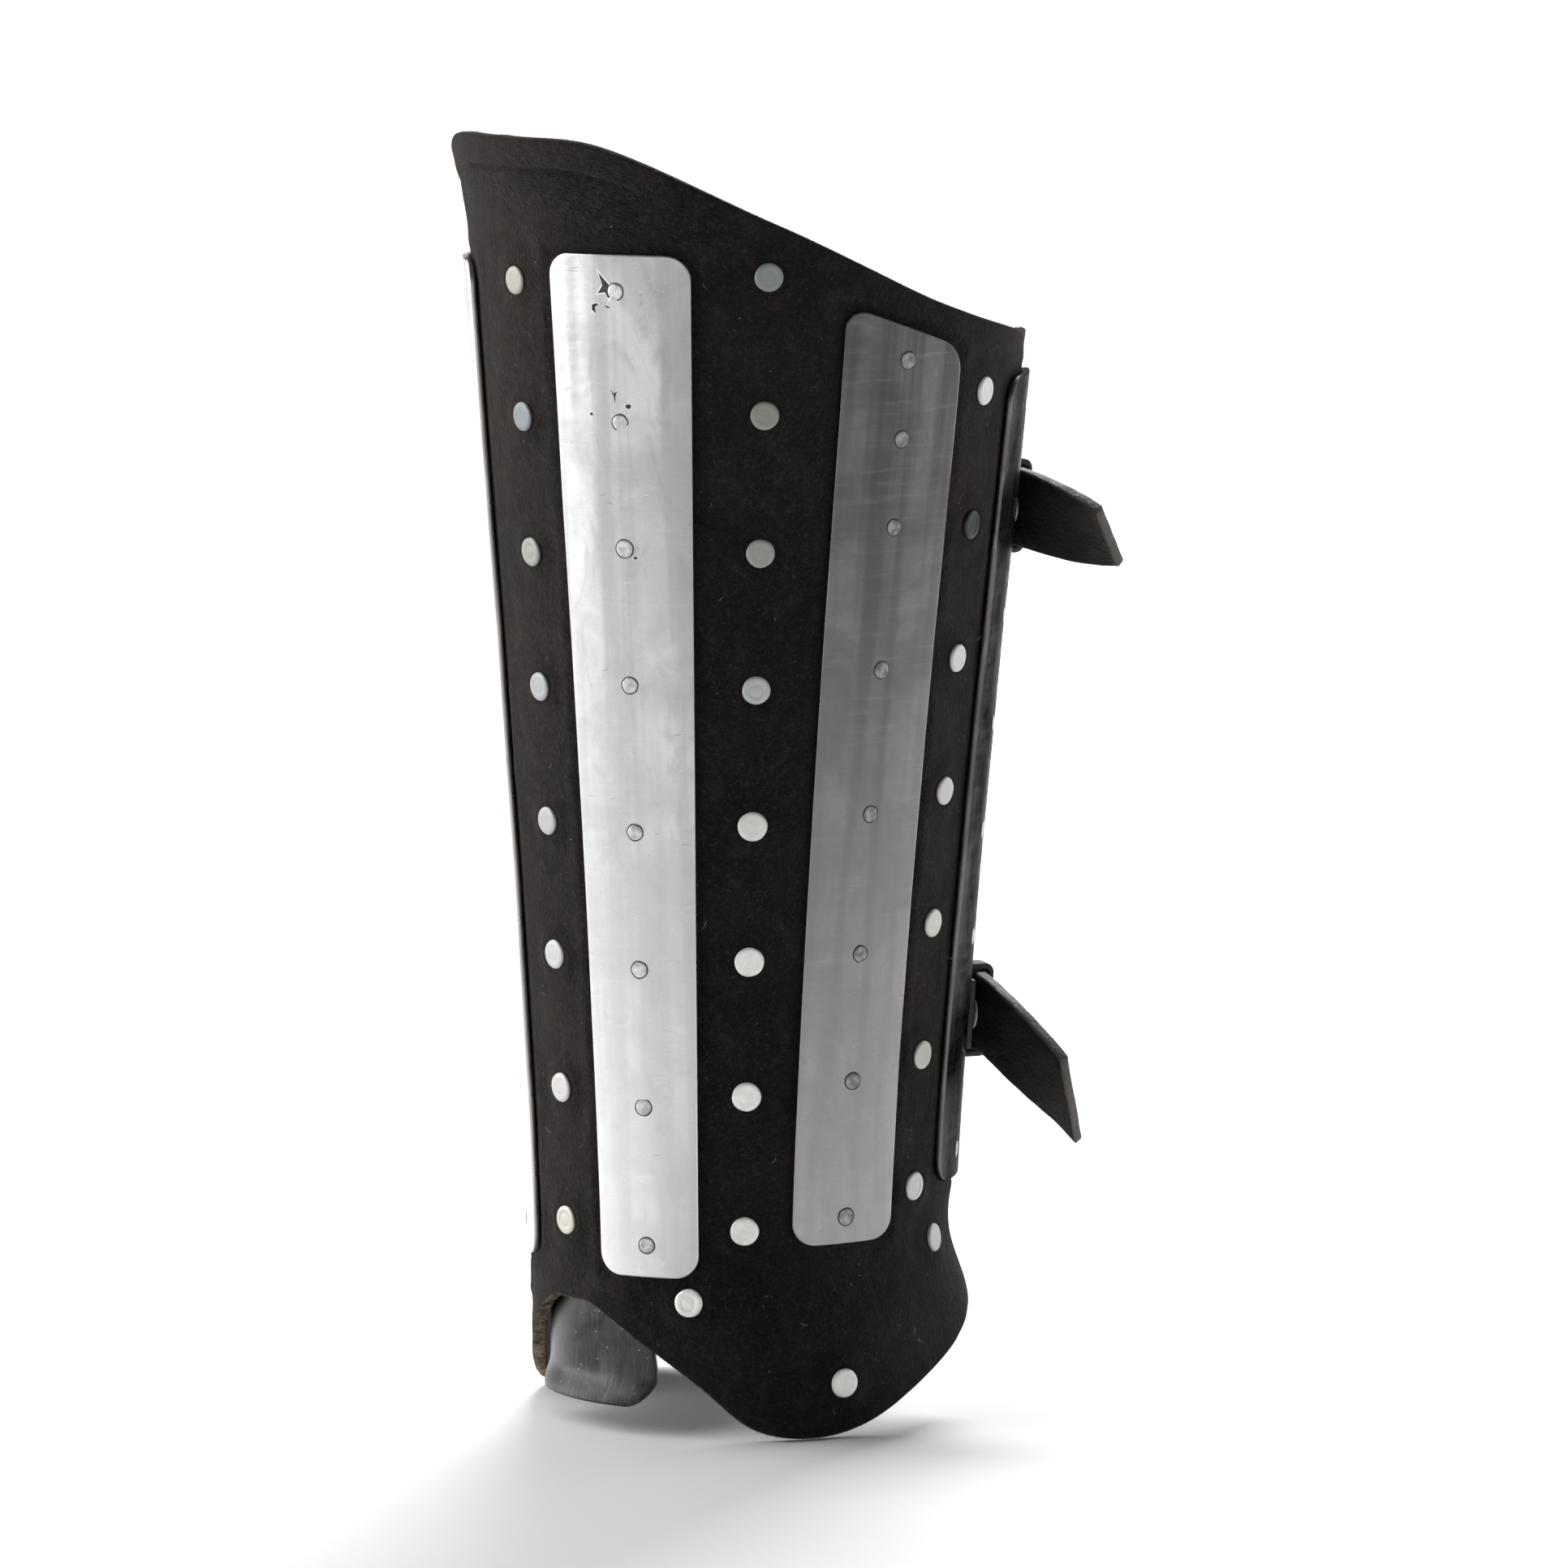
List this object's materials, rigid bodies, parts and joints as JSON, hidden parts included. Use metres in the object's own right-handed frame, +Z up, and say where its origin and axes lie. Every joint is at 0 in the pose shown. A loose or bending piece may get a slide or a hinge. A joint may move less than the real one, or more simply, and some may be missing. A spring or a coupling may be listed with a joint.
{
  "type": "splinted leather greave",
  "caption": "Shin guard of thick suede with riveted steel splints outside, a shin plate inside, ankle lobes, an instep arch and buckled straps that close the back.",
  "frame": {"origin": "on the leg's axis at the ankle, 54 mm above the lowest edge of the ankle lobes", "axes": "+Z up the leg to the knee, -Y out of the shin, +X to the inner side of the leg"},
  "size_m": [0.1596, 0.1877, 0.3887],
  "materials": {
    "suede": "black rough suede",
    "strap_leather": "black smooth leather with rough cut edges",
    "splint_steel": "satin, ground lengthwise",
    "plate_steel": "dull satin",
    "rivet_steel": "pale satin discs",
    "buckle_steel": "satin"
  },
  "bodies": {
    "root": {"buckle_frame_lower": "buckle_steel", "buckle_frame_upper": "buckle_steel", "buckle_prong_lower": "buckle_steel", "buckle_prong_upper": "buckle_steel", "chape_lower": "strap_leather", "chape_upper": "strap_leather", "keeper_lower": "strap_leather", "keeper_upper": "strap_leather", "leather_shell": "suede", "rivet_calf_lateral_1": "rivet_steel", "rivet_calf_lateral_2": "rivet_steel", "rivet_calf_lateral_3": "rivet_steel", "rivet_calf_lateral_4": "rivet_steel", "rivet_calf_lateral_5": "rivet_steel", "rivet_calf_lateral_6": "rivet_steel", "rivet_calf_lateral_7": "rivet_steel", "rivet_calf_lateral_8": "rivet_steel", "rivet_calf_medial_1": "rivet_steel", "rivet_calf_medial_2": "rivet_steel", "rivet_calf_medial_3": "rivet_steel", "rivet_calf_medial_4": "rivet_steel", "rivet_calf_medial_5": "rivet_steel", "rivet_calf_medial_6": "rivet_steel", "rivet_calf_medial_7": "rivet_steel", "rivet_calf_medial_8": "rivet_steel", "rivet_chape_lower": "rivet_steel", "rivet_chape_upper": "rivet_steel", "rivet_heel_lateral_1": "rivet_steel", "rivet_heel_lateral_2": "rivet_steel", "rivet_heel_lateral_3": "rivet_steel", "rivet_heel_lateral_4": "rivet_steel", "rivet_heel_lateral_5": "rivet_steel", "rivet_heel_lateral_6": "rivet_steel", "rivet_heel_lateral_7": "rivet_steel", "rivet_heel_medial_1": "rivet_steel", "rivet_heel_medial_2": "rivet_steel", "rivet_heel_medial_3": "rivet_steel", "rivet_heel_medial_4": "rivet_steel", "rivet_heel_medial_5": "rivet_steel", "rivet_heel_medial_6": "rivet_steel", "rivet_heel_medial_7": "rivet_steel", "rivet_lobe_lateral_1": "rivet_steel", "rivet_lobe_lateral_2": "rivet_steel", "rivet_lobe_lateral_3": "rivet_steel", "rivet_lobe_medial_1": "rivet_steel", "rivet_lobe_medial_2": "rivet_steel", "rivet_lobe_medial_3": "rivet_steel", "rivet_strap_lower": "rivet_steel", "rivet_strap_upper": "rivet_steel", "shin_plate": "plate_steel", "splint_back_lateral": "splint_steel", "splint_back_medial": "splint_steel", "splint_front_lateral": "splint_steel", "splint_front_medial": "splint_steel", "splint_side_lateral": "splint_steel", "splint_side_medial": "splint_steel", "strap_lower": "strap_leather", "strap_upper": "strap_leather"}
  },
  "joints": []
}
